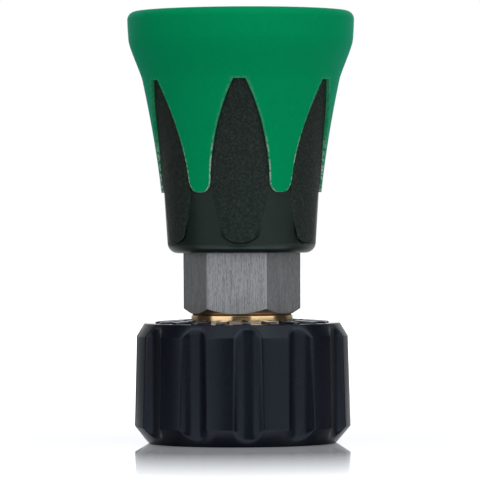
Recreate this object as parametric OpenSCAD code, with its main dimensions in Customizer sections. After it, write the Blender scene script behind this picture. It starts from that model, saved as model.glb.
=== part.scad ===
// High-pressure spray nozzle: a guard bell and a fan tip on a steel nozzle holder, with a swivel
// hand nut below. It stands upright on the hand nut. Z is the water's way, from the nut (z = 0) to
// the mouth of the bell. All sizes are millimetres.

/* [Hand nut] */
// Height of the plastic nut
nut_h = 22.3; // [20:0.1:26]
// Width over the lands at the bottom of the grip
nut_low_d = 40.2; // [38:0.2:46]
// Width over the lands at the top of the grip
nut_high_d = 39.3; // [38:0.1:44]
// Height of the lower bevel
foot_bevel_h = 3.2; // [2:0.1:5]
// Width of the lower bevel, from the lands in to the flat foot
foot_bevel_w = 2.75; // [2:0.05:4.5]
// Height of the upper bevel
top_bevel_h = 2.4; // [1:0.1:4]
// Width of the upper bevel, from the lands in to the flat top
top_bevel_w = 1.5; // [1:0.05:3]
// Number of finger flutes
flute_count = 12; // [8:1:14]
// Depth of a flute below the lands at the bottom of the grip
flute_depth = 1.5; // [0.8:0.1:2]
// Radius of a flute's sides
flute_r = 2.5; // [2:0.1:3]
// Width of a flute's flat bottom
flute_flat = 0.9; // [0.2:0.1:1.5]
// Turn of the nut from the front
grip_turn = 3; // [-15:1:15]
// Number of raised bars on the top face
bar_count = 20; // [12:1:30]
// Length of a raised bar
bar_l = 4.6; // [2:0.1:6]
// Width of a raised bar
bar_w = 1.5; // [0.6:0.1:2]
// Height of a raised bar at its inner end
bar_h = 0.6; // [0.3:0.1:0.8]
// Height of a raised bar at its outer end
bar_end_h = 0.3; // [0.2:0.1:0.6]

/* [Threaded insert] */
// Wall of the brass insert round its free bore
insert_wall = 1.5; // [1:0.1:2.4]
// Width of the brass collar above the plastic
collar_d = 18.8; // [17.6:0.1:20]
// Height of the brass collar above the plastic
collar_h = 1.7; // [1:0.1:3]
// Bevel round the top of the brass collar
collar_bevel = 0.3; // [0.1:0.05:0.5]
// Crest width of the female thread, M22 x 1.5
thread_bore_d = 20.38; // [20.2:0.02:20.6]
// Length of the female thread
thread_l = 8.25; // [6:0.25:8.5]
// Depth of the free bore above the thread, below the thread's crests
relief_depth = 1; // [0.9:0.05:1.3]
// Thickness of the lip that carries the nut on the nipple
lip_h = 4.4; // [3.6:0.1:5]
// Depth of the insert's mouth above the foot
mouth_z = 0.8; // [0.4:0.1:1.2]
// Edge of the insert that shows in the opening of the foot
mouth_edge = 0.6; // [0.2:0.1:1]
// Height of the lead-in bevel of the thread
lead_in_h = 0.8; // [0.4:0.1:1.2]
// Height of the insert's wide part above the lip's underside
shoulder_over_lip = 0.8; // [0.4:0.1:1.6]
// Number of ribs that lock the insert in the plastic
rib_count = 8; // [4:1:12]
// Distance of the locking ribs from the ends of the insert's wide part
rib_inset = 1.6; // [0.8:0.1:4]
// Height of a locking rib
rib_h = 0.8; // [0.4:0.1:1.2]
// Width of a locking rib
rib_w = 2.4; // [1.6:0.1:3]

/* [Swivel nipple] */
// Width of the shank that the nut turns on
shank_d = 15; // [14.4:0.1:15.6]
// Space between the flange and the thread that it passes through
flange_gap = 0.8; // [0.1:0.05:1]
// Thickness of the flange
flange_h = 2; // [1.4:0.1:2.4]
// Width of the sealing spigot
spigot_d = 13.9; // [13.6:0.1:14]
// Length of the sealing spigot
spigot_l = 5.6; // [5:0.1:5.8]
// Width of the water passage in the nipple
nipple_bore_d = 6; // [5:0.1:7]
// Thickness of the slip washer on the flange
washer_h = 0.8; // [0.5:0.1:1]
// How far the slip washer stays inside the flange's rim
washer_inset = 0.3; // [0.1:0.1:1]
// Width of the flare round the passage's inlet
inlet_w = 1.5; // [0.5:0.1:2]
// Height of the flare at the passage's inlet
inlet_h = 1.5; // [0.5:0.1:2]
// Travel of the nut along the nipple
nut_play = 1; // [0.5:0.1:1.5]
// Cord thickness of the spigot's O-ring
o_ring_cord = 1.9; // [1.6:0.1:2]
// How far the O-ring stands out of the spigot
o_ring_proud = 0.18; // [0.1:0.02:0.2]
// Thickness of the backup ring behind the O-ring
backup_h = 0.8; // [0.6:0.1:1]
// Distance of the O-ring's groove from the spigot's end
groove_inset = 0.9; // [0.8:0.1:1.2]

/* [Nozzle holder] */
// Width across the flats of the hexagon
hex_af = 19; // [18:0.5:20]
// Length of the hexagon
hex_l = 12.7; // [10:0.1:16]
// How much is turned off each corner of the hexagon
corner_cut = 0.08; // [0:0.02:0.5]
// Slope of the bevel under the hexagon, in degrees
hex_bevel = 33; // [25:1:45]
// Turn of the hexagon from the front
hex_turn = -6; // [-30:1:30]
// Width of the stem that carries the bell
stem_d = 17.2; // [16:0.1:17.6]
// Length of the stem
stem_l = 15.3; // [15:0.1:20]
// Mean width of the quarter-inch pipe threads in the holder
pipe_d = 12.3; // [12:0.1:12.6]
// Depth of the lower pipe thread
pipe_l = 10.9; // [9.5:0.1:11.5]
// Depth of the upper pipe thread
tip_socket_l = 11; // [10:0.1:12]
// Width of the passage between the two threads
passage_d = 7; // [5:0.1:8]
// Thickness of the sealing ring at the nipple's end
gasket_h = 1; // [0.6:0.1:1.5]

/* [Guard bell] */
// Turn of the bell from the front
bell_turn = -1; // [-30:1:30]
// Height of the bell from its foot to its rim
bell_h = 44.8; // [42:0.2:54]
// How far the rim leans out over the foot of the rim band
rim_lean = 0.25; // [0:0.05:1]
// Width where the rim band meets the shoulder
band_d = 41.7; // [41:0.1:41.8]
// Height of the rim band
band_h = 5.2; // [4.4:0.1:6.5]
// Width of the neck under the shoulder
neck_d = 36.6; // [35:0.1:37.5]
// Height of the shoulder between neck and band
shoulder_h = 7.5; // [6:0.1:9]
// Slope of the wall at the tips of the teeth, in degrees
tooth_slope = 6.2; // [4:0.1:8]
// Slope of the wall at the neck, in degrees
neck_slope = 12; // [8:0.5:14]
// Slope of the wall at the foot of the rim band, in degrees
band_slope = 2.4; // [0:0.1:5]
// Width of the crown at the tips of its teeth
tooth_d = 29.7; // [29.3:0.1:30]
// Height of the teeth's tips above the bell's foot
tooth_z = 11.2; // [10:0.1:12]
// Half the width of the flat at a tooth's tip
tooth_flat_half = 0.35; // [0.2:0.05:0.6]
// How far the black base lies under the teeth's surface
base_step = 0.5; // [0.2:0.05:0.8]
// How far the black base draws in towards its foot
base_lean = 0.6; // [0.2:0.05:1.2]
// Radius of the bell's rounded foot
bell_foot_r = 1.9; // [1:0.1:2.1]
// Radius of the bell's outer rim
edge_r = 1.5; // [1:0.1:2]
// Thickness of the green crown
crown_t = 1.6; // [1.2:0.1:2]
// Thickness of the bell's whole wall
wall_t = 3.4; // [3:0.1:4]
// Space round the stem on the bell's floor
floor_w = 2.75; // [2.5:0.05:3]
// Height of the crown above the black shell at the rim
rim_cap_h = 3.8; // [3:0.1:5]
// How far the black arches lie under the crown's surface
arch_sink = 0.15; // [0.05:0.05:0.4]
// How far the leaf panels stand out of the black base
leaf_proud = 0.15; // [0.1:0.05:0.4]
// Number of teeth and arches
tooth_count = 6; // [5:1:6]
// Radius of an arch's curved side
arch_r = 41; // [30:0.1:50]
// Half the greatest width of an arch
arch_half = 5.5; // [5:0.02:5.9]
// Height of an arch's widest place above the teeth's tips
arch_wide_z = 2.3; // [1.8:0.1:3]
// Half the width of an arch's flat top
arch_top_half = 1.15; // [0.5:0.05:1.5]
// Radius of a leaf panel's curved side
leaf_r = 24; // [20:0.5:40]
// Height of a leaf panel's rounded lower end
leaf_round_h = 2; // [0.8:0.1:2.4]
// Height of the leaf panel's lowest point above the foot
leaf_z = 1.9; // [1.6:0.1:4]
// How far the bell reaches down round the hexagon
skirt_h = 1.5; // [0.8:0.1:3]
// Space between the hexagon's corners and the bell round them
skirt_gap = 0.25; // [0.1:0.05:0.6]
// Height of the bell's solid foot above the hexagon
seat_h = 10.4; // [9:0.1:11]

/* [Bell fixings] */
// Thickness of the washer over the bell's foot
bell_washer_h = 0.8; // [0.5:0.1:1]
// Space round the washer over the bell's foot
bell_washer_gap = 0.65; // [0.2:0.05:1]
// Thickness of the snap ring
clip_h = 1; // [0.8:0.1:1.2]
// Radius of the eyes that pliers hold the snap ring by
clip_eye_r = 1.5; // [1.2:0.1:1.6]
// Width of the snap ring's band
clip_w = 2.1; // [1.4:0.1:2.4]
// Depth of the snap ring's groove
clip_groove = 0.5; // [0.3:0.1:0.8]
// Opening of the snap ring, in degrees
clip_gap = 40; // [30:1:60]

/* [Spray tip] */
// Width across the flats of the tip's head
tip_af = 14; // [13:0.5:15]
// Height of the tip's head
tip_head_h = 6.4; // [5:0.1:8]
// Width of the tip's round nose
nose_d = 10.4; // [9:0.1:11]
// Height of the nose
nose_h = 5.4; // [4:0.1:7]
// Width of the slot across the nose
slot_w = 2; // [1.4:0.1:3]
// Depth of the slot
slot_h = 2.2; // [1.5:0.1:3]
// Width of the passage in the tip
tip_bore_d = 5; // [4:0.1:6]
// Height of the bevel on the nose
nose_bevel = 1; // [0.4:0.1:1.6]
// Space left between the end of the tip's thread and the holder
plug_gap = 0.8; // [0.4:0.1:2]
// Thickness of the seal under the tip's head
tip_seal_h = 1; // [0.6:0.1:1.5]
// Width of the wear-resistant orifice insert
orifice_body_d = 4.2; // [3.6:0.1:4.6]
// Width of the orifice
orifice_d = 1.2; // [0.8:0.1:2]

/* [Fits] */
// Radial clearance between shank and nut
run_gap = 0.08; // [0.02:0.01:0.1]
// Clearance between faces that rest on each other and can move
face_gap = 0.05; // [0.02:0.01:0.1]
// Radial clearance of pieces that are screwed or pressed together
seat_gap = 0.04; // [0.02:0.01:0.1]
// Gap between the crown and the black shell that it is moulded onto
bond_gap = 0.02; // [0.01:0.01:0.05]
// Small bevel on turned edges
edge_bevel = 0.5; // [0.3:0.1:0.8]

/* [Hidden] */
$fn = 96;
eps = 0.01;       // overrun of a cut past a face
clear = 1;        // overrun of a cut past the whole part
curve_steps = 8;  // straight pieces along a curved outline
round_steps = 5;  // straight pieces round an edge

// Heights, from the foot of the nut upwards
collar_z = nut_h + collar_h;
hex_z = collar_z + face_gap;
lip_z = collar_z - lip_h;
washer_z = lip_z - nut_play - face_gap - washer_h;
flange_z = washer_z - face_gap - flange_h;
spigot_z = flange_z - spigot_l;
thread_z = mouth_z + lead_in_h;
insert_top_z = lip_z + shoulder_over_lip;
seat_z = hex_z + hex_l;
stem_z = seat_z + stem_l;
bell_z = seat_z - skirt_h;
floor_z = seat_z + seat_h;
clip_z = floor_z + bell_washer_h + face_gap;
head_z = stem_z + tip_seal_h;
nose_z = head_z + tip_head_h;
tip_z = nose_z + nose_h;
gasket_z = hex_z + pipe_l - gasket_h - face_gap;
stud_l = gasket_z - face_gap - hex_z;
plug_l = tip_socket_l - plug_gap;

// Widths that follow from others
nut_top_d = nut_high_d - 2 * top_bevel_w;
nut_foot_d = nut_low_d - 2 * foot_bevel_w;
relief_d = thread_bore_d + 2 * relief_depth;
insert_d = relief_d + 2 * insert_wall;
mouth_d = thread_bore_d + 2 * lead_in_h + 2 * mouth_edge;
flange_d = thread_bore_d - 2 * flange_gap;
hex_turned_d = hex_af / cos(30) - 2 * corner_cut;
skirt_d = hex_turned_d + 2 * skirt_gap;
rim_d = band_d + 2 * rim_lean;
base_top_d = tooth_d - 2 * base_step;
base_low_d = base_top_d - 2 * base_lean;
foot_r = min(bell_foot_r, (base_low_d - skirt_d) / 2 - edge_bevel);
floor_d = stem_d + 2 * floor_w;
clip_bore_d = stem_d - 2 * clip_groove + 2 * seat_gap;
clip_d = clip_bore_d + 2 * clip_w;

// Heights in the bell, above its foot
band_z = bell_h - band_h;
neck_z = band_z - shoulder_h;
core_top_z = bell_h - rim_cap_h;
arch_z = tooth_z + arch_wide_z;

// The arch's rise over its widest place, the middle of a tooth's tip and the leaf's length
arch_rise = sqrt(pow(arch_r, 2) - pow(arch_r - arch_half + arch_top_half, 2));
tooth_mid = tooth_d / 2 * sin(180 / tooth_count) - tooth_flat_half;
leaf_drop = arch_z - leaf_z - leaf_round_h;

// The point at share t along a curve with the four control points p
function bezier(p, t) =
    pow(1 - t, 3) * p[0] + 3 * t * pow(1 - t, 2) * p[1]
    + 3 * t * t * (1 - t) * p[2] + pow(t, 3) * p[3];

// A curve from point a to point b that starts at one slope from upright and ends at another.
// The larger the hold, the shorter the curve keeps to each slope.
function sloped_curve(a, slope_a, b, slope_b, hold) =
    let (rise = (b[1] - a[1]) / hold)
    let (p = [a, a + rise * [tan(slope_a), 1], b - rise * [tan(slope_b), 1], b])
    [for (i = [0:curve_steps]) bezier(p, i / curve_steps)];

// Points on a quarter round of radius r about c, from angle a0 to a1
function round_edge(c, r, a0, a1) =
    [for (i = [0:round_steps]) let (a = a0 + (a1 - a0) * i / round_steps)
        c + r * [cos(a), sin(a)]];

// The bell's outer outline from the teeth's tips to the neck, and from the neck to the band
flare = sloped_curve([tooth_d / 2, tooth_z], tooth_slope, [neck_d / 2, neck_z], neck_slope, 3);
shoulder = sloped_curve([neck_d / 2, neck_z], neck_slope, [band_d / 2, band_z], band_slope, 5);
outline = concat(flare, [for (i = [1:curve_steps]) shoulder[i]]);

// The same outline moved in by a wall's thickness, and turned round to close a section
function moved_in(points, by) = [for (p = points) [p[0] - by, p[1]]];
function reversed(points) = [for (i = [len(points) - 1:-1:0]) points[i]];

// Revolves a section that is drawn with heights above the bell's foot
module bell_turned(points) {
    translate([0, 0, bell_z]) rotate_extrude() polygon(points);
}

// Copies a piece to each of count places round the axis
module around(count) {
    for (i = [0:count - 1]) rotate(i * 360 / count) children();
}

// Stands a flat outline, drawn in x and height, upright and drives it outwards from the axis
module driven_out(from, to) {
    translate([0, -from, bell_z]) rotate([90, 0, 0]) linear_extrude(to - from) children();
}

module ring(d_out, d_in, h) {
    difference() {
        cylinder(d = d_out, h = h);
        translate([0, 0, -clear]) cylinder(d = d_in, h = h + 2 * clear);
    }
}

// ---- Hand nut ----

// The nut's outer form before the flutes, as a section
module nut_blank() {
    rotate_extrude() polygon([
        [0, 0],
        [nut_foot_d / 2, 0],
        [nut_low_d / 2, foot_bevel_h],
        [nut_high_d / 2, nut_h - top_bevel_h],
        [nut_top_d / 2, nut_h],
        [0, nut_h]]);
}

// One flute's hollow: upright, with a flat bottom and round sides
module flute() {
    floor_r = nut_low_d / 2 - flute_depth;
    for (side = [-1, 1])
        translate([floor_r + flute_r, side * flute_flat / 2, -clear])
            cylinder(r = flute_r, h = nut_h + 2 * clear);
    translate([floor_r, -flute_flat / 2, -clear])
        cube([2 * flute_r, flute_flat, nut_h + 2 * clear]);
}

// The outside of the brass insert, made larger by grow for the pocket in the plastic
module insert_outside(grow = 0) {
    translate([0, 0, mouth_z - grow])
        cylinder(d = insert_d + 2 * grow, h = insert_top_z - mouth_z + 2 * grow);
    translate([0, 0, lip_z]) cylinder(d = collar_d + 2 * grow, h = collar_z - collar_bevel - lip_z);
    translate([0, 0, collar_z - collar_bevel])
        cylinder(d1 = collar_d + 2 * grow, d2 = collar_d - 2 * collar_bevel + 2 * grow, h = collar_bevel);
    around(rib_count)
        translate([insert_d / 2 - rib_h, -rib_w / 2 - grow, mouth_z + rib_inset - grow])
            cube([2 * rib_h + grow, rib_w + 2 * grow, insert_top_z - mouth_z - 2 * rib_inset + 2 * grow]);
}

// A ring of plain raised bars that slope down outwards, where the finger turns the nut
module top_bars() {
    bar_mid = (collar_d + nut_top_d) / 4;
    around(bar_count)
        translate([bar_mid, 0, nut_h]) rotate([90, 0, 0])
            linear_extrude(bar_w, center = true) polygon([
                [-bar_l / 2, -bar_h],
                [bar_l / 2, -bar_h],
                [bar_l / 2, bar_end_h],
                [-bar_l / 2, bar_h]]);
}

module hand_nut() {
    color("#22262f") rotate(grip_turn - 90) difference() {
        union() {
            difference() {
                nut_blank();
                around(flute_count) flute();
            }
            top_bars();
        }
        insert_outside(seat_gap);
        translate([0, 0, -clear]) cylinder(d = mouth_d, h = mouth_z + clear);
    }
}

// ---- Threaded insert ----

module thread_insert() {
    color("#c9a24e") rotate(grip_turn - 90) difference() {
        insert_outside();
        // lead-in bevel, thread crest, free bore and the bore of the lip
        translate([0, 0, mouth_z - eps])
            cylinder(d1 = thread_bore_d + 2 * lead_in_h, d2 = thread_bore_d, h = lead_in_h + eps);
        translate([0, 0, thread_z - eps]) cylinder(d = thread_bore_d, h = thread_l + 2 * eps);
        translate([0, 0, thread_z + thread_l])
            cylinder(d = relief_d, h = lip_z - thread_z - thread_l);
        translate([0, 0, lip_z - clear])
            cylinder(d = shank_d + 2 * run_gap, h = lip_h + 2 * clear);
    }
}

module slip_washer() {
    color("#e8e4d6") translate([0, 0, washer_z])
        ring(flange_d - 2 * washer_inset, shank_d + 2 * run_gap, washer_h);
}

// ---- Swivel nipple and its seals ----

o_ring_mid_r = spigot_d / 2 + o_ring_proud - o_ring_cord / 2;
groove_r = o_ring_mid_r - o_ring_cord / 2 - seat_gap;
groove_h = o_ring_cord + backup_h + 3 * face_gap;
groove_z = spigot_z + groove_inset;

module swivel_nipple() {
    color("#c9a24e") difference() {
        union() {
            translate([0, 0, spigot_z])
                cylinder(d1 = spigot_d - 2 * edge_bevel, d2 = spigot_d, h = edge_bevel);
            translate([0, 0, spigot_z + edge_bevel])
                cylinder(d = spigot_d, h = spigot_l - edge_bevel + eps);
            translate([0, 0, flange_z]) cylinder(d = flange_d, h = flange_h);
            translate([0, 0, flange_z + eps]) cylinder(d = shank_d, h = hex_z - flange_z - eps);
            translate([0, 0, hex_z - eps]) cylinder(d = pipe_d - 2 * seat_gap, h = stud_l + eps);
        }
        translate([0, 0, spigot_z - clear])
            cylinder(d = nipple_bore_d, h = hex_z + stud_l - spigot_z + 2 * clear);
        translate([0, 0, spigot_z - eps])
            cylinder(d1 = nipple_bore_d + 2 * inlet_w, d2 = nipple_bore_d, h = inlet_h + eps);
        translate([0, 0, groove_z]) ring(spigot_d + clear, 2 * groove_r, groove_h);
    }
}

module spigot_o_ring() {
    color("#1a1a1a") translate([0, 0, groove_z + face_gap + o_ring_cord / 2])
        rotate_extrude() translate([o_ring_mid_r, 0]) circle(d = o_ring_cord, $fn = 48);
}

module spigot_backup_ring() {
    color("#e8e4d6") translate([0, 0, groove_z + groove_h - face_gap - backup_h])
        ring(spigot_d, 2 * groove_r + 2 * seat_gap, backup_h);
}

module nipple_gasket() {
    color("#b5703c") translate([0, 0, gasket_z])
        ring(pipe_d - 2 * seat_gap, passage_d, gasket_h);
}

// ---- Nozzle holder ----

// A hexagon with its corners turned down and its lower edge bevelled
module bevelled_hex() {
    intersection() {
        cylinder(d = hex_af / cos(30), h = hex_l, $fn = 6);
        cylinder(d = hex_turned_d, h = hex_l);
        cylinder(d1 = hex_af, d2 = hex_af + 2 * hex_l / tan(hex_bevel), h = hex_l);
    }
}

module nozzle_holder() {
    color("#9a9c9f") rotate(hex_turn) difference() {
        union() {
            translate([0, 0, hex_z]) bevelled_hex();
            translate([0, 0, seat_z - eps]) cylinder(d = stem_d, h = stem_l - edge_bevel + eps);
            translate([0, 0, stem_z - edge_bevel])
                cylinder(d1 = stem_d, d2 = stem_d - 2 * edge_bevel, h = edge_bevel);
        }
        translate([0, 0, hex_z - clear]) cylinder(d = pipe_d, h = pipe_l + clear);
        translate([0, 0, stem_z - tip_socket_l])
            cylinder(d = pipe_d, h = tip_socket_l + clear);
        translate([0, 0, hex_z + eps]) cylinder(d = passage_d, h = stem_z - hex_z);
        translate([0, 0, clip_z])
            ring(stem_d + clear, stem_d - 2 * clip_groove, clip_h + 2 * face_gap);
    }
}

// ---- Guard bell ----

// Half of the opening between two teeth: round the tooth's tip, then up the side of the arch.
// Shrink leaves the gap that the two shots of the moulding have between them.
function window_side(shrink) = concat(
    [[tooth_mid - shrink, tooth_z - 1]],
    [for (i = [0:round_steps]) let (a = 90 * i / round_steps) [
        tooth_mid - shrink - (tooth_mid - arch_half) * sin(a),
        tooth_z + arch_wide_z * (1 - cos(a))]],
    [for (i = [1:curve_steps]) let (h = (arch_rise - shrink) * i / curve_steps) [
        arch_half - shrink - arch_r + sqrt(pow(arch_r, 2) - pow(h, 2)),
        arch_z + h]]);

// Half of a leaf panel: in along the side of the leaf, then round its lower end
function leaf_half(h) = arch_half - arch_sink - leaf_r + sqrt(pow(leaf_r, 2) - pow(h, 2));
function leaf_side() = concat(
    [for (i = [0:curve_steps]) let (h = leaf_drop * i / curve_steps) [leaf_half(h), arch_z - h]],
    [for (i = [1:round_steps]) let (a = 90 * i / round_steps) [
        leaf_half(leaf_drop) * cos(a),
        leaf_z + leaf_round_h * (1 - sin(a))]]);

// Closes a half outline with its mirror image, drives it outwards and copies it round the bell
module panels(side) {
    around(tooth_count) driven_out(rim_d / 5, rim_d)
        polygon(concat(side, reversed([for (p = side) if (p[0] > eps) [-p[0], p[1]]])));
}

// The crown as a plain shell: outer outline, rim, inner wall above the black shell
module crown_shell() {
    lip_r = edge_r * 2 / 3;
    bell_turned(concat(
        outline,
        round_edge([rim_d / 2 - edge_r, bell_h - edge_r], edge_r, 0, 90),
        round_edge([rim_d / 2 - wall_t + lip_r, bell_h - lip_r], lip_r, 90, 180),
        [[band_d / 2 - wall_t, core_top_z]],
        [[band_d / 2 - crown_t, core_top_z]],
        reversed(moved_in(outline, crown_t))));
}

module crown_cover() {
    color("#00804e") rotate(bell_turn) difference() {
        crown_shell();
        panels(window_side(0));
    }
}

// The black shell inside the crown, with the base below it and the seat on the stem
module core_shell() {
    bed = crown_t + bond_gap;
    bore_r = stem_d / 2 + seat_gap;
    floor_h = floor_z - bell_z;
    inner = [for (p = moved_in(outline, wall_t))
        if (p[1] > floor_h + edge_bevel) [max(p[0], floor_d / 2), p[1]]];
    bell_turned(concat(
        [[skirt_d / 2, 0]],
        round_edge([base_low_d / 2 - foot_r, foot_r], foot_r, -90, 0),
        [[base_top_d / 2, tooth_z - bond_gap], [tooth_d / 2 - bed, tooth_z - bond_gap]],
        moved_in(outline, bed),
        [[band_d / 2 - bed, core_top_z - bond_gap], [band_d / 2 - wall_t, core_top_z - bond_gap]],
        reversed(inner),
        [[floor_d / 2, floor_h], [bore_r, floor_h], [bore_r, skirt_h], [skirt_d / 2, skirt_h]]));
}

// The black arches that fill the openings of the crown
module core_arches() {
    front = [for (i = [1:len(outline) - 1]) outline[i]];
    root = crown_t + edge_bevel;
    intersection() {
        bell_turned(concat(
            [[tooth_d / 2 - root, tooth_z - edge_bevel]],
            [[base_top_d / 2 - arch_sink, tooth_z - edge_bevel]],
            [[tooth_d / 2 - arch_sink, tooth_z + edge_bevel]],
            moved_in(front, arch_sink),
            reversed(moved_in(front, root))));
        panels(window_side(bond_gap));
    }
}

// The raised leaf panels on the base, one under each arch
module core_leaves() {
    intersection() {
        bell_turned([
            [base_low_d / 2 - edge_bevel, foot_r],
            [base_low_d / 2 + leaf_proud, foot_r],
            [base_top_d / 2 + leaf_proud - bond_gap, tooth_z - 2 * bond_gap],
            [base_top_d / 2 - edge_bevel, tooth_z - 2 * bond_gap]]);
        panels(leaf_side());
    }
}

module bell_core() {
    color("#222423") rotate(bell_turn) {
        core_shell();
        core_arches();
        core_leaves();
    }
}

module bell_washer() {
    color("#b9bbbd") translate([0, 0, floor_z])
        ring(floor_d - 2 * bell_washer_gap, stem_d + 2 * seat_gap, bell_washer_h);
}

// A snap ring with two eyes for the pliers
module bell_snap_ring() {
    eye_turn = clip_gap / 2 + asin(2 * clip_eye_r / clip_d);
    color("#3b3d40") translate([0, 0, clip_z + face_gap]) difference() {
        union() {
            difference() {
                cylinder(d = clip_d, h = clip_h);
                linear_extrude(4 * clip_h, center = true) polygon([
                    [0, 0],
                    clip_d * [sin(-clip_gap / 2), cos(clip_gap / 2)],
                    clip_d * [sin(clip_gap / 2), cos(clip_gap / 2)]]);
            }
            snap_ring_eyes(eye_turn) cylinder(r = clip_eye_r, h = clip_h);
        }
        snap_ring_eyes(eye_turn) translate([0, 0, -clear])
            cylinder(r = clip_eye_r / 2, h = clip_h + 2 * clear, $fn = 32);
        translate([0, 0, -clear]) cylinder(d = clip_bore_d, h = clip_h + 2 * clear);
    }
}

// Places a piece at both ends of the snap ring
module snap_ring_eyes(turn) {
    for (side = [-1, 1])
        rotate(side * turn) translate([0, clip_d / 2 - clip_eye_r / 2, 0]) children();
}

// ---- Spray tip ----

module tip_seal() {
    color("#b5703c") translate([0, 0, stem_z])
        ring(stem_d - 2 * edge_bevel, pipe_d, tip_seal_h);
}

module spray_tip() {
    corner_d = tip_af / cos(30);
    color("#c4c6c8") difference() {
        union() {
            translate([0, 0, stem_z - plug_l])
                cylinder(d = pipe_d - 2 * seat_gap, h = plug_l + tip_seal_h + eps);
            translate([0, 0, head_z]) intersection() {
                cylinder(d = corner_d, h = tip_head_h, $fn = 6);
                cylinder(d1 = tip_af + 2 * tip_head_h / tan(hex_bevel), d2 = tip_af, h = tip_head_h);
            }
            translate([0, 0, nose_z - eps])
                cylinder(d = nose_d, h = nose_h - nose_bevel + eps);
            translate([0, 0, tip_z - nose_bevel])
                cylinder(d1 = nose_d, d2 = nose_d - 2 * nose_bevel, h = nose_bevel);
        }
        translate([0, 0, stem_z - plug_l - clear])
            cylinder(d = tip_bore_d, h = nose_z - stem_z + plug_l + clear);
        translate([0, 0, nose_z - eps]) cylinder(d = orifice_body_d, h = nose_h + clear);
        translate([-slot_w / 2, -nose_d, tip_z - slot_h]) cube([slot_w, 2 * nose_d, slot_h + clear]);
    }
}

// The hard insert that the water is formed by, wide below and narrow above
module orifice_insert() {
    body_h = nose_h - slot_h;
    color("#e9e6dd") translate([0, 0, nose_z]) difference() {
        cylinder(d = orifice_body_d - 2 * seat_gap, h = body_h);
        translate([0, 0, -clear]) cylinder(d = orifice_d, h = body_h + 2 * clear, $fn = 32);
        translate([0, 0, -eps])
            cylinder(d1 = 3 * orifice_d, d2 = orifice_d, h = body_h / 2);
    }
}

hand_nut();
thread_insert();
slip_washer();
swivel_nipple();
spigot_o_ring();
spigot_backup_ring();
nipple_gasket();
nozzle_holder();
bell_core();
crown_cover();
bell_washer();
bell_snap_ring();
tip_seal();
spray_tip();
orifice_insert();
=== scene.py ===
# %% [markdown]
# # A high-pressure spray nozzle, dressed for its picture
#
# The nozzle is a guard bell on a steel holder, over a fluted hand nut that swivels on a brass
# nipple. The exact solids come from the construction as a fixed frame. This script models every
# piece again as a finished mesh, with the soft edges and the surfaces that a moulded, turned or
# drawn piece really has, and puts each piece exactly where its solid is.

from math import acos, asin, atan2, cos, degrees, hypot, pi, radians, sin, sqrt, tan

import bmesh
import bpy
from mathutils import Matrix, Vector


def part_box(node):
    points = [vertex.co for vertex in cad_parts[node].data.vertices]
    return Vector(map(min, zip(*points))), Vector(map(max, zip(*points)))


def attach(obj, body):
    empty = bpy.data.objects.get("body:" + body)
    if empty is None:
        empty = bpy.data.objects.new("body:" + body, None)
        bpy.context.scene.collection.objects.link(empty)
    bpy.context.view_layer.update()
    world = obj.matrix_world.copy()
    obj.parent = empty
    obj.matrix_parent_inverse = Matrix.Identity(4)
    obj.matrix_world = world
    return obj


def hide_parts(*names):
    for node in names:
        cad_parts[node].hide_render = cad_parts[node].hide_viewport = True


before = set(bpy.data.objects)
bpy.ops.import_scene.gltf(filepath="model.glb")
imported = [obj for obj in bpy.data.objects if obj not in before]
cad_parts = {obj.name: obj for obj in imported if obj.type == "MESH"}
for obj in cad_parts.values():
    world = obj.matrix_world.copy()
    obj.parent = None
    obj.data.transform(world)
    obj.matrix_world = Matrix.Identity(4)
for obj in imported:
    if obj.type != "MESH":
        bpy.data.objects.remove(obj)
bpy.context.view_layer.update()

# %% [markdown]
# ## Measuring the frame
#
# All modelling below is in millimetres, because that is how such a part is drawn, and a piece is
# scaled to metres when it is finished. Heights and widths are read from the solids wherever a
# solid has them. Only what a box can't tell, such as the curve of the bell, is a value of its own.

# %% Heights and widths of the solids
MM = 0.001


def foot(node):
    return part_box(node)[0].z / MM


def top(node):
    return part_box(node)[1].z / MM


def radius(node):
    return (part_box(node)[1].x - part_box(node)[0].x) / 2 / MM


bell_z = foot("bell_core")
rim_z = top("crown_cover")
tooth_z = foot("crown_cover")
rim_r = radius("crown_cover")
hex_z = foot("nozzle_holder")
stem_z = top("nozzle_holder")
nipple_z = foot("swivel_nipple")
print(f"bell {bell_z:.2f} to {rim_z:.2f} mm, teeth end at {tooth_z:.2f}, hexagon starts at {hex_z:.2f}")

# %% [markdown]
# ## Tools for turned pieces
#
# Nearly everything on this nozzle is turned or moulded round one axis. The natural way to model
# that is a half section swept round the axis with bmesh's spin. A section is written as its
# corners, and a corner may name a fillet: real edges are never sharp, and the fillet is what
# catches the light. A full turn merges its first and last copy. Angles are in degrees, and the
# normals are made to point outwards once, at the end.

# %% A section with filleted corners
UP = Vector((0, 0, 1))


def section(corners, arc_steps=4, is_open=False):
    """Points (radius, height) through corners (radius, height, fillet), with arcs in the fillets."""
    points = []
    for i, corner in enumerate(corners):
        here = Vector(corner[:2])
        fillet = corner[2] if len(corner) > 2 else 0
        if not fillet or (is_open and i in (0, len(corners) - 1)):
            points.append(here)
            continue
        before = (Vector(corners[i - 1][:2]) - here).normalized()
        after = (Vector(corners[(i + 1) % len(corners)][:2]) - here).normalized()
        half = before.angle(after) / 2
        centre = here + (before + after).normalized() * fillet / sin(half)
        start = here + before * fillet / tan(half) - centre
        end = here + after * fillet / tan(half) - centre
        for k in range(arc_steps + 1):
            share = k / arc_steps
            points.append(centre + (start * (1 - share) + end * share).normalized() * fillet)
    return points


def draw_section(bm, points):
    """The closed section as edges in the XZ plane, ready to be swept."""
    verts = [bm.verts.new((p[0], 0, p[1])) for p in points]
    return verts + [bm.edges.new(pair) for pair in zip(verts, verts[1:] + verts[:1])]


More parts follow.
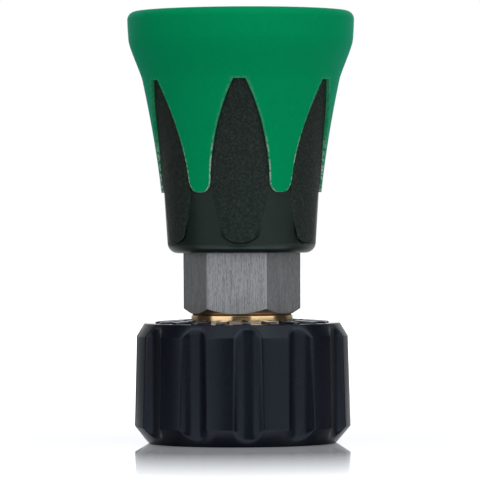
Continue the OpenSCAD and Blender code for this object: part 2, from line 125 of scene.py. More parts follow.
def plate(bm, points):
    """The section as a face, which closes the ends of a sweep that isn't a full turn."""
    face = bm.faces.new([bm.verts.new((p[0], 0, p[1])) for p in points])
    return [face] + face.edges[:] + face.verts[:]


# %% Short names for what every piece needs
TOUCHING = 1e-4


def everything(bm):
    return bm.verts[:] + bm.edges[:] + bm.faces[:]


def verts_of(geom):
    return [g for g in geom if isinstance(g, bmesh.types.BMVert)]


def reach_of(vert):
    """Distance of a point from the axis."""
    return hypot(vert.co.x, vert.co.y)


def angle_of(vert):
    return degrees(atan2(vert.co.y, vert.co.x))


def put(vert, reach, angle):
    """Moves a point to a distance and an angle, at its own height."""
    vert.co.x, vert.co.y = reach * cos(radians(angle)), reach * sin(radians(angle))


def rotated(angle):
    return Matrix.Rotation(radians(angle), 4, "Z")


def turn(bm, angle, verts=None):
    """Turns points, or all of them, about the axis."""
    bmesh.ops.rotate(bm, cent=(0, 0, 0), matrix=rotated(angle), verts=verts or bm.verts[:])


def sweep(bm, geom, angle, steps, **more):
    """Sweeps geometry about the axis by an angle in degrees."""
    bmesh.ops.spin(bm, geom=geom, cent=(0, 0, 0), axis=UP, angle=radians(angle), steps=steps, **more)


def closed(bm, merge=0.0):
    """Merges points that lie closer than merge and points all normals outwards."""
    if merge:
        bmesh.ops.remove_doubles(bm, verts=bm.verts[:], dist=merge)
    bmesh.ops.recalc_face_normals(bm, faces=bm.faces[:])
    return bm


def bevel(bm, edges, offset, segments):
    """Rounds edges and gives the new faces."""
    return bmesh.ops.bevel(bm, geom=edges, offset=offset, segments=segments, profile=0.5,
                           affect="EDGES", material=-1, clamp_overlap=True)["faces"]


# %% Turned pieces and rings of copies
def turned(corners, steps=96):
    """A new bmesh: the section swept once round the Z axis."""
    bm = bmesh.new()
    sweep(bm, draw_section(bm, section(corners)), 360, steps, use_merge=True)
    return closed(bm, TOUCHING)


def add(bm, other, matrix=Matrix.Identity(4)):
    """Joins a second bmesh into the first."""
    mesh = bpy.data.meshes.new("joined")
    bmesh.ops.transform(other, matrix=matrix, verts=other.verts[:])
    other.to_mesh(mesh)
    other.free()
    bm.from_mesh(mesh)
    bpy.data.meshes.remove(mesh)


def full_ring(bm, count, start=0.0):
    """Mirrors half a sector, copies the sector round the axis and merges what meets."""
    twin = bmesh.ops.duplicate(bm, geom=everything(bm))["geom"]
    bmesh.ops.scale(bm, vec=(1, -1, 1), verts=verts_of(twin))
    one = everything(bm)
    for i in range(1, count):
        copy = bmesh.ops.duplicate(bm, geom=one)["geom"]
        turn(bm, i * 360 / count, verts_of(copy))
    turn(bm, start)
    return closed(bm, TOUCHING)


# %% [markdown]
# A finished piece needs the same few steps each time: millimetres to metres, shading that is smooth
# except over real edges, its materials, the body it rides on, the solid it stands for and a printed
# line. One function does them all, so that no piece can miss one. Most pieces ride on
# nozzle_body.

# %% Finishing a piece
def linked(name, data):
    """A new object that the scene shows."""
    made = bpy.data.objects.new(name, data)
    bpy.context.scene.collection.objects.link(made)
    return made


def mesh_object(name, bm, materials):
    mesh = bpy.data.meshes.new(name)
    bm.to_mesh(mesh)
    bm.free()
    made = linked(name, mesh)
    for material in materials:
        mesh.materials.append(material)
    return made


def finished(bm, name, solid, materials, edge_angle=30, body="nozzle_body"):
    """Makes the object from a bmesh in millimetres and ties it to the frame."""
    bmesh.ops.scale(bm, vec=(MM, MM, MM), verts=bm.verts[:])
    for face in bm.faces:
        face.smooth = True
    for edge in bm.edges:
        edge.smooth = not (edge.is_manifold and edge.calc_face_angle(0) > radians(edge_angle))
    piece = mesh_object(name, bm, materials)
    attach(piece, body)
    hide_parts(solid)
    print(f"{name}: {len(piece.data.polygons)} faces, rides on {body}")


# %% [markdown]
# ## Tools for materials
#
# A finish is colour, gloss and a little relief, all three uneven in the way the real surface is.
# Every material here starts from one function that makes the shader and a few that add noise,
# colour ramps and bump, all on Object coordinates, so that the pattern stays on the piece when it
# moves and is the same size on every piece. A node or socket knows its tree, so it says where the
# next node goes.

# %% Shader helpers
def new_material(name, **sockets):
    """A material with a Principled shader; sockets sets its plain values by name."""
    material = bpy.data.materials.new(name)
    material.use_nodes = True
    shader = material.node_tree.nodes["Principled BSDF"]
    for socket, value in sockets.items():
        shader.inputs[socket.replace("_", " ")].default_value = value
    return material, shader


def node(owner, kind, links=(), **values):
    """Adds a node to the owner's tree; values are set by name, links are (from socket, to name)."""
    made = owner.id_data.nodes.new(kind)
    for key, value in values.items():
        label = key.replace("_", " ")
        if label in made.inputs:
            made.inputs[label].default_value = value
        else:
            setattr(made, key, value)
    for source, target in links:
        owner.id_data.links.new(source, made.inputs[target])
    return made


def maths(operation, first, second):
    """Two values added or multiplied, or the larger of them."""
    return node(first, "ShaderNodeMath", [(first, 0), (second, 1)], operation=operation).outputs[0]


def feed(shader, **sockets):
    """Links each value to the shader's socket of that name."""
    for socket, value in sockets.items():
        shader.id_data.links.new(value, shader.inputs[socket.replace("_", " ")])


def placed(shader, scale=(1, 1, 1)):
    """Object coordinates, stretched by scale."""
    where = node(shader, "ShaderNodeTexCoord").outputs["Object"]
    return node(shader, "ShaderNodeMapping", [(where, "Vector")], Scale=scale).outputs["Vector"]


def noise(vector, per_mm, detail=2.0, roughness=0.5):
    """Noise whose grains are 1 / per_mm millimetres wide."""
    return node(vector, "ShaderNodeTexNoise", [(vector, "Vector")], Scale=per_mm / MM, Detail=detail,
                Roughness=roughness).outputs["Fac"]


def span(value, low, high, start=0.0, end=1.0):
    """Maps value from start..end onto low..high, held at both ends."""
    return node(value, "ShaderNodeMapRange", [(value, "Value")], From_Min=start, From_Max=end,
                To_Min=low, To_Max=high).outputs["Result"]


def blend(amount, first, second):
    """Mixes two colours; each is a socket or a plain colour."""
    made = node(amount, "ShaderNodeMix", data_type="RGBA")
    links = amount.id_data.links
    for slot_name, value in (("A", first), ("B", second)):
        socket = [s for s in made.inputs if s.name == slot_name and s.type == "RGBA"][0]
        if isinstance(value, tuple):
            socket.default_value = (*value, 1)
        else:
            links.new(value, socket)
    factor = [s for s in made.inputs if s.name == "Factor" and s.type == "VALUE"][0]
    links.new(amount, factor)
    return [s for s in made.outputs if s.type == "RGBA"][0]


def relief(shader, height, depth_mm, strength=1.0):
    """Bump on the shader from a height of 0 to 1 that stands for depth_mm."""
    bump = node(height, "ShaderNodeBump", [(height, "Height")], Strength=strength, Distance=depth_mm * MM)
    feed(shader, Normal=bump.outputs["Normal"])


# %% [markdown]
# ## The finishes
#
# **Green crown.** The crown is a soft plastic moulded over the black shell. It is an even green
# with a slight bloom: a little paler where it has been scuffed, and finely pitted by the mould.
# The thin edges of the teeth are torn and dusty where the mould closed on the black shell. The pale
# mark along the outer edges is partly that wear and partly painted sheen. It is marked on the mesh
# as an attribute, and noise breaks the mark up.

# %% Green plastic
GREEN, shader = new_material(
    "green_plastic", Roughness=0.5, Specular_IOR_Level=0.02, Specular_Tint=(0.35, 1.0, 0.8, 1.0),
    Sheen_Weight=0.2, Sheen_Roughness=0.4, Sheen_Tint=(0.1, 0.9, 1.0, 1.0))
where = placed(shader)
broad = noise(where, 0.12, 3.0)
scuffs = span(noise(where, 3.2, 6.0, 0.7), 0.0, 1.0, 0.6, 0.75)
patches = span(noise(where, 0.09, 1.0), 0.0, 0.35, 0.55, 0.75)
amount = maths("MULTIPLY", scuffs, patches)
mottle = span(noise(where, 1.8, 3.0, 0.7), 0.0, 1.0, 0.25, 0.75)
drift = blend(broad, (0.0, 0.172, 0.058), (0.0, 0.204, 0.073))
plain = blend(mottle, drift, (0.0, 0.216, 0.08))
scuffed = blend(amount, plain, (0.04, 0.26, 0.14))
# The pale edge colour below is partly torn wear and partly painted sheen, read from the mesh's mark.
wear = node(shader, "ShaderNodeAttribute", attribute_name="wear").outputs["Fac"]
broken_up = span(noise(where, 1.6, 4.0, 0.7), 0.0, 1.0, 0.44, 0.54)
colour = blend(maths("MULTIPLY", wear, broken_up), scuffed, (0.36, 0.44, 0.4))
feed(shader, Base_Color=colour, Roughness=span(broad, 0.44, 0.56))
relief(shader, noise(where, 5.0, 3.0), 0.02, 0.5)
print("made:", GREEN.name)

# %% [markdown]
# ** Black shell.** The shell is one hard greenish-black plastic with two textures from the mould:
# the arches and leaf panels are stippled so that a wet hand can hold them, and the base between
# them is smooth. The stipple is cells and noise in the relief. Its highest grains are paler.

# %% Black plastics of the shell
SHELL_SMOOTH, shader = new_material(
    "shell_smooth", Specular_IOR_Level=0.32, Specular_Tint=(0.78, 1.0, 0.9, 1.0))
where = placed(shader)
cloud = noise(where, 0.3, 3.0)
colour = blend(cloud, (0.0025, 0.006, 0.0045), (0.0045, 0.0085, 0.007))
feed(shader, Base_Color=colour, Roughness=span(cloud, 0.24, 0.34))
relief(shader, noise(where, 4.0, 2.0), 0.01, 0.4)

SHELL_STIPPLED, shader = new_material(
    "shell_stippled", Specular_IOR_Level=0.16, Specular_Tint=(0.78, 1.0, 0.9, 1.0))
where = placed(shader)
cells = node(shader, "ShaderNodeTexVoronoi", [(where, "Vector")], Scale=3.4 / MM).outputs["Distance"]
fine = noise(where, 2.2, 4.0, 0.75)
tips = span(fine, 0.0, 1.0, 0.46, 0.66)
cloud = noise(where, 0.25, 2.0)
dark = blend(cloud, (0.0032, 0.0068, 0.0056), (0.0058, 0.0095, 0.0085))
colour = blend(tips, dark, (0.0215, 0.0275, 0.025))
feed(shader, Base_Color=colour, Roughness=span(cloud, 0.4, 0.46))
relief(shader, maths("ADD", cells, fine), 0.1, 1.0)
print("made:", SHELL_SMOOTH.name, "and", SHELL_STIPPLED.name)

# %% [markdown]
# **Nut plastic.** The hand nut is glass-filled nylon: blue-black, satin, with the faint grain of
# a spark-eroded mould. **Rubber**, **white plastic** and **ceramic** are smooth, each with its own
# slight unevenness.

# %% Nut plastic and the small plain finishes
def nut_plastic(name, gloss, specular, grain_mm):
    material, shader = new_material(
        name, Specular_IOR_Level=specular, Specular_Tint=(0.72, 0.84, 1.0, 1.0))
    where = placed(shader)
    grain = noise(where, 2.2, 4.0, 0.65)
    cloud = noise(where, 0.15, 2.0)
    plain = blend(cloud, (0.0012, 0.002, 0.0045), (0.0022, 0.0034, 0.0066))
    grainy = blend(span(grain, 0.0, 0.5, 0.45, 0.75), plain, (0.006, 0.0085, 0.014))
    # Pale edges: rubbed wear and painted edge highlights, from the mesh's mark.
    wear = node(shader, "ShaderNodeAttribute", attribute_name="wear").outputs["Fac"]
    rubbed_and_highlit = maths("MULTIPLY", span(wear, 0.0, 0.6, 0.3, 0.9), grain)
    colour = blend(rubbed_and_highlit, grainy, (0.05, 0.06, 0.078))
    feed(shader, Base_Color=colour, Roughness=span(grain, gloss * 0.9, gloss * 1.25))
    relief(shader, grain, grain_mm, 0.35)
    return material


def plain_finish(name, low, high, roughness, per_mm=0.6, depth_mm=0.005, **sockets):
    """An even, smooth finish that drifts between two colours."""
    material, shader = new_material(name, Roughness=roughness, **sockets)
    where = placed(shader)
    cloud = noise(where, per_mm, 3.0)
    feed(shader, Base_Color=blend(cloud, low, high),
         Roughness=span(cloud, roughness * 0.85, roughness * 1.2))
    relief(shader, noise(where, per_mm * 8, 2.0), depth_mm, 0.5)
    return material


# %% [markdown]
# ** Drawn steel.** The hexagon is a length of drawn bar that was never machined on its flats, so
# it carries long scratches along the bar. Noise that is squeezed across the axis and stretched
# along it gives the grain, in the colour, in the gloss and in the relief at once. **Turned**
# pieces carry the same grain round the axis instead, so there the noise is read from height and
# radius alone. The hexagon's lower bevel is painted warmer, a painted reflection of the brass that
# it faces, and its turned corners are darker than the bar. Brass may carry stains, which take the
# noise of the surface.

# %% Drawn steel
DRAWN_STEEL, shader = new_material("drawn_steel", Metallic=1.0, Roughness=0.4)
lines = noise(placed(shader, (1, 1, 0.03)), 7.0, 3.0, 0.7)
fine = noise(placed(shader, (1, 1, 0.1)), 14.0, 2.0, 0.6)
broad = noise(placed(shader, (1, 1, 0.12)), 0.5, 2.0)
both = maths("ADD", lines, fine)
plain = blend(broad, (0.35, 0.36, 0.375), (0.43, 0.44, 0.455))
scratched = blend(span(both, 0.0, 1.0, 0.94, 1.18), plain, (0.2, 0.204, 0.212))
bright = blend(span(both, 0.0, 1.0, 0.92, 0.7), scratched, (0.5, 0.505, 0.51))
feed(shader, Base_Color=bright, Roughness=span(both, 0.36, 0.5, 0.7, 1.3))
relief(shader, both, 0.02, 0.4)
print("made:", DRAWN_STEEL.name)


# %% Turned metals
STAIN = 0.35


def turned_metal(name, low, high, roughness, grooves_per_mm=5.0, depth_mm=0.01, blotches=0.0):
    """A metal with fine rings round the Z axis."""
    material, shader = new_material(name, Metallic=1.0, Roughness=roughness)
    where = placed(shader)
    apart = node(shader, "ShaderNodeSeparateXYZ", [(where, "Vector")])
    flat = node(shader, "ShaderNodeVectorMath", [(where, 0)], operation="MULTIPLY")
    flat.inputs[1].default_value = (1, 1, 0)
    out = node(shader, "ShaderNodeVectorMath", [(flat.outputs[0], 0)], operation="LENGTH").outputs["Value"]
    along = node(shader, "ShaderNodeCombineXYZ", [(out, "X"), (apart.outputs["Z"], "Z")]).outputs["Vector"]
    rings = noise(along, grooves_per_mm, 3.0, 0.6)
    stain = span(noise(where, 0.5, 4.0, 0.6), 0.0, blotches, 0.4, 0.8)
    colour = blend(stain, blend(rings, low, high), tuple(c * STAIN for c in low))
    feed(shader, Base_Color=colour, Roughness=span(rings, roughness * 0.8, roughness * 1.25))
    relief(shader, rings, depth_mm, 0.5)
    return material


# %% All materials
NUT_PLASTIC = nut_plastic("nut_plastic", 0.27, 0.2, 0.02)
NUT_GLOSSY = nut_plastic("nut_plastic_glossy", 0.05, 1.0, 0.001)
TURNED_STEEL = turned_metal("turned_steel", (0.5, 0.5, 0.51), (0.66, 0.66, 0.67), 0.28)
CORNER_STEEL = turned_metal("turned_corner", (0.2, 0.2, 0.205), (0.3, 0.3, 0.305), 0.45, 3.0)
# The lower bevel's warm colour is a painted reflection of the brass collar that it faces.
BRASS_REFLECTION_STEEL = turned_metal("turned_bevel_painted_reflection", (0.42, 0.32, 0.25), (0.52, 0.41, 0.32), 0.4, 6.0, 0.004)
SPRING_STEEL = turned_metal("spring_steel", (0.07, 0.07, 0.075), (0.13, 0.13, 0.14), 0.42, 2.0)
BRASS = turned_metal("polished_brass", (0.54, 0.375, 0.195), (0.63, 0.465, 0.265), 0.16, 4.0, 0.006, 0.25)
BRASS_MATTE = turned_metal("matte_brass", (0.36, 0.33, 0.3), (0.46, 0.42, 0.39), 0.5, 3.0, 0.02)
COPPER = turned_metal("soft_copper", (0.62, 0.3, 0.16), (0.74, 0.4, 0.24), 0.38, 2.0)
RUBBER = plain_finish("seal_rubber", (0.008, 0.008, 0.008), (0.02, 0.02, 0.02), 0.35)
WHITE_PLASTIC = plain_finish("white_plastic", (0.66, 0.64, 0.57), (0.78, 0.76, 0.7), 0.4)
CERAMIC = plain_finish("ceramic", (0.78, 0.76, 0.7), (0.88, 0.86, 0.82), 0.2, 1.5)
print("materials:", len(bpy.data.materials))

# %% [markdown]
# ## The bell's shape
#
# The crown and the shell share one outline and one pattern of openings, so both are worked out
# once. The outline has two curves, a long flare from the teeth to the neck and a short shoulder
# from the neck to the rim band. Each starts and ends at a known slope, which makes it one cubic
# curve. The radius at a height is found on the curve by halving, because a row of points at a
# chosen height is what the openings need.

# %% The bell's outline
NECK_UP, BAND_UP = 32.1, 39.6
neck_z, band_z = bell_z + NECK_UP, bell_z + BAND_UP
tooth_r, neck_r, band_r = 14.85, 18.3, 20.85
RIM_ROUND, LIP_ROUND = 1.5, 1.0
TOOTH_SLOPE, NECK_SLOPE, BAND_SLOPE = 6.2, 12.0, 2.4
FLARE_HOLD, SHOULDER_HOLD = 3, 5


def sloped_curve(a, slope_a, b, slope_b, hold):
    """A curve between two points with slopes from upright; a low hold keeps the slopes longer."""
    rise = (b[1] - a[1]) / hold
    lean_a = Vector((tan(radians(slope_a)), 1)) * rise
    lean_b = Vector((tan(radians(slope_b)), 1)) * rise
    return [Vector(a), Vector(a) + lean_a, Vector(b) - lean_b, Vector(b)]


def on_curve(control, t):
    weights = ((1 - t) ** 3, 3 * t * (1 - t) ** 2, 3 * t * t * (1 - t), t ** 3)
    return sum((w * p for w, p in zip(weights, control)), Vector((0, 0)))


FLARE = sloped_curve((tooth_r, tooth_z), TOOTH_SLOPE, (neck_r, neck_z), NECK_SLOPE, FLARE_HOLD)
SHOULDER = sloped_curve((neck_r, neck_z), NECK_SLOPE, (band_r, band_z), BAND_SLOPE, SHOULDER_HOLD)


def wall_r(z):
    """Outer radius of the bell at height z."""
    if z >= band_z:
        return band_r + (rim_r - band_r) * min(1.0, (z - band_z) / (rim_z - RIM_ROUND - band_z))
    curve = FLARE if z < neck_z else SHOULDER
    low, high = 0.0, 1.0
    for _ in range(24):
        middle = (low + high) / 2
        if on_curve(curve, middle)[1] < z:
            low = middle
        else:
            high = middle
    return on_curve(curve, low)[0]


def inner_r(z, depth):
    """Radius of a surface depth inside the outline; only the outside of the rim band leans."""
    return min(wall_r(z), band_r) - depth


print(f"bell radius: teeth {wall_r(tooth_z):.2f}, neck {wall_r(neck_z):.2f}, rim {rim_r:.2f} mm")

# %% [markdown]
# Between two teeth is a pointed arch: two wide arcs that cross, cut off flat where they would
# meet. Below the teeth the same arch turns into a leaf that narrows to a round end. half_opening
# and half_panel give their half widths at a height.

# %% The openings between the teeth
TEETH = 6
SECTOR = 360 / TEETH
ARCH_R, ARCH_HALF, ARCH_TOP_HALF = 41.0, 5.5, 1.15
BELL_TURN = -1.0
TIP_ROUND, TIP_FLAT_HALF, LEAF_UP = 2.3, 0.35, 1.9
PANEL_GAP, LEAF_NARROW = 0.03, 0.15
arch_z = tooth_z + TIP_ROUND
arch_top = arch_z + sqrt(ARCH_R ** 2 - (ARCH_R - ARCH_HALF + ARCH_TOP_HALF) ** 2)
tooth_mid = tooth_r * sin(radians(SECTOR / 2)) - TIP_FLAT_HALF
LEAF_R, LEAF_ROUND = 24.0, 2.0
leaf_foot = bell_z + LEAF_UP


def half_opening(z):
    """Half the width between two teeth at height z."""
    if z < arch_z:
        around = acos(max(-1, min(1, 1 - (z - tooth_z) / (arch_z - tooth_z))))
        return tooth_mid - (tooth_mid - ARCH_HALF) * sin(around)
    return ARCH_HALF - ARCH_R + sqrt(ARCH_R ** 2 - (z - arch_z) ** 2)


def half_panel(z):
    """Half the width of the black arch and the leaf panel below it at height z."""
    if z >= arch_z:
        return half_opening(z) - PANEL_GAP
    round_z = leaf_foot + LEAF_ROUND
    drop = arch_z - max(z, round_z)
    half = ARCH_HALF - LEAF_NARROW - LEAF_R + sqrt(LEAF_R ** 2 - drop ** 2)
    if z < round_z:
        half *= sqrt(max(0.06, 1 - ((round_z - z) / LEAF_ROUND) ** 2))
    return half


print(f"arches end at {arch_top:.2f} mm, leaves at {leaf_foot:.2f} mm")

# %% [markdown]
# Cutting the openings with booleans would leave ragged shading along the cut. Instead the wall is
# spun as a plain grid over half a sector, and its columns are then turned about the axis so that
# one of them lies exactly on the edge of the opening at every height. Above and below the opening
# the columns drift back to even spacing. The faces of the opening get a mark before the columns
# move. The finished half sector is mirrored, and six copies close the ring.

# %% A sector whose columns follow the opening
IN_COLUMNS, OUT_COLUMNS = 7, 10
COLUMNS = IN_COLUMNS + OUT_COLUMNS
DRIFT = 7.0


def column_angle(column, z, half_width, low, high):
    """Angle of a column at height z, in degrees from the middle of the opening."""
    even = SECTOR / 2 * column / COLUMNS
    held = min(max(z, low), high)
    edge = degrees(asin(half_width(held) / wall_r(max(held, tooth_z))))
    if column <= IN_COLUMNS:
        fitted = edge * column / IN_COLUMNS
    else:
        fitted = edge + (SECTOR / 2 - edge) * (column - IN_COLUMNS) / OUT_COLUMNS
    away = min(1.0, abs(z - held) / DRIFT)
    return fitted + (even - fitted) * away * away * (3 - 2 * away)


def half_sector(points, half_width, low, high, is_cut):
    """Half a sector of a ring; its faces between low and high where is_cut holds get a mark."""
    bm = bmesh.new()
    mark = bm.faces.layers.int.new("mark")
    sweep(bm, draw_section(bm, points), SECTOR / 2, COLUMNS)
    columns = {vert: round(angle_of(vert) / (SECTOR / 2) * COLUMNS) for vert in bm.verts}
    for face in bm.faces:
        middle = face.calc_center_median()
        is_in = max(columns[v] for v in face.verts) <= IN_COLUMNS
        inside = is_in and low - 0.01 < middle.z < high
        face[mark] = inside and is_cut(hypot(middle.x, middle.y), middle.z)
    for vert, column in columns.items():
        put(vert, reach_of(vert), column_angle(column, vert.co.z, half_width, low, high))
    return bm


def marked(bm):
    mark = bm.faces.layers.int["mark"]
    return [face for face in bm.faces if face[mark]]


def on_border(edge, faces):
    """Whether an edge lies between a face of the set and one outside it."""
    return len({face in faces for face in edge.link_faces}) == 2


# %% [markdown]
# ## The green crown
#
# The crown starts at the tips of its teeth, follows the outline up, rolls over the rim and ends
# inside the mouth on top of the black shell. Below that it is a thin coat over the shell. Its
# section is closed, so an opening is cut by deleting its faces on both sides of the wall, and the
# two edges that this leaves are joined with bridge_loops. The outer edges are then bevelled,
# because a moulded edge is soft. They carry a pale mark that is torn wear and painted sheen in one:
# strong near the ends of the teeth, faint higher up, weaker on the side facing into the opening.

# %% Crown
CROWN_T, WALL_T = 1.6, 3.4
EDGE_SOFT, ON_TOP = 0.2, 0.1
WEAR_AND_SHEEN_FAINT, WEAR_AND_SHEEN_IN_OPENING, WEAR_AND_SHEEN_UP, WEAR_AND_SHEEN_FADE = 0.12, 0.4, 9, 5
core_top = top("bell_core")


def rows(low, high, count):
    return [low + (high - low) * i / count for i in range(count + 1)]


def crown_section():
    tip_rows = [tooth_z + (arch_z - tooth_z) * (1 - cos(radians(a))) for a in range(0, 90, 12)]
    heights = tip_rows + rows(arch_z, arch_top, 30) + rows(arch_top + 0.5, core_top, 12)
    wall = [(wall_r(z), z) for z in heights + [band_z + 2.0]]
    rim = section([wall[-1], (rim_r, rim_z, RIM_ROUND), (rim_r - WALL_T, rim_z, LIP_ROUND),
                   (inner_r(core_top, WALL_T), core_top)], 6, is_open=True)
    coat = [(inner_r(z, CROWN_T), z) for z in reversed(heights)]
    return wall + rim[1:] + coat


def on_top(vert):
    """Whether a point lies on the crown's outer surface."""
    return reach_of(vert) > wall_r(vert.co.z) - ON_TOP


bm = half_sector(crown_section(), half_opening, tooth_z, arch_top, lambda reach, z: True)
bmesh.ops.delete(bm, geom=marked(bm), context="FACES")
cut = [e for e in bm.edges if e.is_boundary
       and any(v.co.z > tooth_z + 0.01 for v in e.verts)
       and all(v.co.z < arch_top + 0.01 for v in e.verts)
       and any(angle_of(v) < SECTOR / 2 - 0.5 for v in e.verts)]
bmesh.ops.bridge_loops(bm, edges=cut)
full_ring(bm, TEETH, BELL_TURN - 90)
soft = [e for e in bm.edges if e.calc_face_angle(0) > radians(50)
        and all(on_top(v) and v.co.z < arch_top + 0.1 for v in e.verts)]
rounded = bevel(bm, soft, EDGE_SOFT, 2)
# The mark is torn wear near the teeth's ends and painted sheen along all these bevelled edges.
wear = bm.verts.layers.float.new("wear")
for vert in {vert for face in rounded for vert in face.verts}:
    amount = max(WEAR_AND_SHEEN_FAINT, min(1.0, (arch_z + WEAR_AND_SHEEN_UP - vert.co.z) / WEAR_AND_SHEEN_FADE))
    vert[wear] = amount if on_top(vert) else amount * WEAR_AND_SHEEN_IN_OPENING
finished(bm, "crown", "crown_cover", [GREEN])

# %% [markdown]
# ## The black shell
#
# The shell is a solid ring in section: the rounded foot, the base, the bed that the crown lies
# on, the smooth inside of the bell and the seat on the stem. Its grid follows the panels in the
# same way. The panels' outline is sunk first, where it runs round the lower end of a leaf, and
# leaves a shallow groove there. The marked faces are then pushed out as a region, and each point is
# put on the panel's own surface. The leaf is just proud of the base, less so at its edge. Between
# the teeth the arch lies just under the crown's surface, and sinks further from there upwards.

# %% Black shell
BASE_STEP, BASE_LEAN, FOOT_ROUND = 0.5, 0.6, 1.9
LEAF_PROUD, LEAF_SOFT, GROOVE, BOND = 0.15, 0.13, 0.15, 0.02
ARCH_SINK, ARCH_DEEP, DEEP_RISE = 0.15, 0.6, 10.0
HEX_H, FLOOR_UP, PANEL_SOFT = 12.7, 10.4, 0.14
seat_z = hex_z + HEX_H
floor_z = seat_z + FLOOR_UP
STEM_R, FLOOR_W, SKIRT_R = 8.6, 2.75, 11.1


def base_r(z):
    """Radius of the black base, carried on under the tips of the teeth."""
    lean = BASE_LEAN / (tooth_z - bell_z - FOOT_ROUND)
    return tooth_r - BASE_STEP + lean * (z - tooth_z)


def panel_r(z, at_edge=False):
    """Radius of the raised panels: the leaf below the teeth, the arch between them."""
    soft = min(1.0, max(0.0, (z - leaf_foot - LEAF_ROUND) / 3)) if at_edge else 0.0
    leaf = base_r(z) + LEAF_PROUD - LEAF_SOFT * soft
    if z < tooth_z:
        return leaf
    arch = wall_r(z) - ARCH_SINK - (ARCH_DEEP - ARCH_SINK) * min(1.0, (z - tooth_z) / DEEP_RISE)
    share = min(1.0, (z - tooth_z) / 1.5)
    return leaf + (arch - leaf) * share


def shell_section():
    bed = CROWN_T + BOND
    foot_arc = section([(SKIRT_R, bell_z), (base_r(bell_z), bell_z, FOOT_ROUND),
                        (base_r(bell_z + 3), bell_z + 3)], 6, is_open=True)[:-1]
    round_z = leaf_foot + LEAF_ROUND
    end_rows = [round_z - LEAF_ROUND * sin(radians(a)) for a in (76, 60, 45, 30, 15, 0)]
    base = [(base_r(z), z) for z in end_rows + rows(round_z + 0.7, arch_z + 0.2, 13)]
    heights = rows(arch_z + 0.3, arch_top, 28) + rows(arch_top + 0.6, core_top, 10)
    lying = [(inner_r(z, bed), z) for z in heights]
    hollow = [(max(inner_r(z, WALL_T), STEM_R + FLOOR_W), z) for z in rows(core_top, floor_z + 1, 24)]
    seat = section([hollow[-1], (STEM_R + FLOOR_W, floor_z, 0.8), (STEM_R + 0.04, floor_z, 0.2),
                    (STEM_R + 0.04, seat_z), (SKIRT_R, seat_z), (SKIRT_R, bell_z, 0.3),
                    (SKIRT_R + 1, bell_z)], 4, is_open=True)[1:-1]
    return foot_arc[1:] + base + lying + hollow + seat


def is_outside(reach, z):
    """Whether a face of the shell lies on its outer side."""
    return reach > base_r(max(min(z, arch_z), bell_z)) - 1.3


def move_to(vert, reach):
    """Moves a point straight out or in."""
    share = reach / reach_of(vert)
    vert.co.x, vert.co.y = vert.co.x * share, vert.co.y * share


bm = half_sector(shell_section(), half_panel, leaf_foot, arch_top, is_outside)
full_ring(bm, TEETH, BELL_TURN - 90)
panel = marked(bm)
lying = set(panel)
for vert in {v for e in bm.edges if on_border(e, lying) for v in e.verts}:
    low_end = min(1.0, max(0.0, leaf_foot + LEAF_ROUND + 1 - vert.co.z))
    move_to(vert, reach_of(vert) - GROOVE * low_end)
pushed = bmesh.ops.extrude_face_region(bm, geom=panel, use_keep_orig=False)["geom"]
raised = {g for g in pushed if isinstance(g, bmesh.types.BMFace)}
for vert in verts_of(pushed):
    at_edge = any(on_border(e, raised) for e in vert.link_edges)
    move_to(vert, panel_r(vert.co.z, at_edge))
bmesh.ops.delete(bm, geom=[f for f in panel if f.is_valid], context="FACES")
for face in raised:
    face.material_index = 1
bm.normal_update()
bevel(bm, [e for e in bm.edges if on_border(e, raised)], PANEL_SOFT, 3)
finished(closed(bm), "bell_shell", "bell_core", [SHELL_SMOOTH, SHELL_STIPPLED])

# %% [markdown]
# ## The hand nut
#
# The nut is a turned blank with twelve flutes. Seen as a function, the flutes are simple: at
# every angle and height the surface lies at the smaller of two radii, the blank's and the
# flute's. A smooth minimum rounds the edge between them, also where a flute runs out in an arch
# on the bevels. The grid's columns again gather along that edge, so the rounding has points to
# lie on. The edges between flutes and lands are painted pale, as rubbed wear and as painted edge
# highlights, more so towards the top.

# %% Blank of the nut
NUT_TURN = 3.0
FLUTES = 12
PITCH = 360 / FLUTES
FLUTE_R, FLUTE_FLAT, FLUTE_DEPTH = 2.5, 0.45, 1.5
LOW_R, HIGH_R = 20.1, 19.65
NUT_H = 22.3
FOOT_BEVEL, FOOT_R = 3.2, 17.35
TOP_BEVEL, TOP_R = 2.4, 18.15
COLLAR_R, INSERT_R, INSERT_TOP, PLAY = 9.4, 12.69, 20.4, 0.05
FLUTE_FLOOR = LOW_R - FLUTE_DEPTH
FLUTED_FROM, FINE_FROM, FINE_STEP, SIDE_ROWS = 17, 15.5, 0.32, 16
FOOT_SPLIT, MOUTH_R, MOUTH_LIP = 13.5, 11.6, 0.76


def flute_edge(reach):
    """Angle at which a flute meets the blank of that radius, in degrees; 0 past its end."""
    depth = reach - FLUTE_FLOOR
    if depth <= 0:
        return 0.0
    across = FLUTE_FLAT + sqrt(max(0.0, FLUTE_R ** 2 - max(0.0, FLUTE_R - depth) ** 2))
    return degrees(asin(across / reach))


def fluted_r(reach, angle, soft=0.5):
    """The smaller of the blank's and the flute's radius, edge rounded, and how near the edge is."""
    across = abs(reach * sin(radians(angle))) - FLUTE_FLAT
    if across <= 0:
        rise = 0.0
    elif across < FLUTE_R:
        rise = FLUTE_R - sqrt(FLUTE_R ** 2 - across ** 2)
    else:
        rise = FLUTE_R + (across - FLUTE_R) * 3
    hollow = (FLUTE_FLOOR + rise) / cos(radians(angle))
    near = max(0.0, 1 - abs(hollow - reach) / soft)
    return min(hollow, reach) - near * near * soft / 4, near


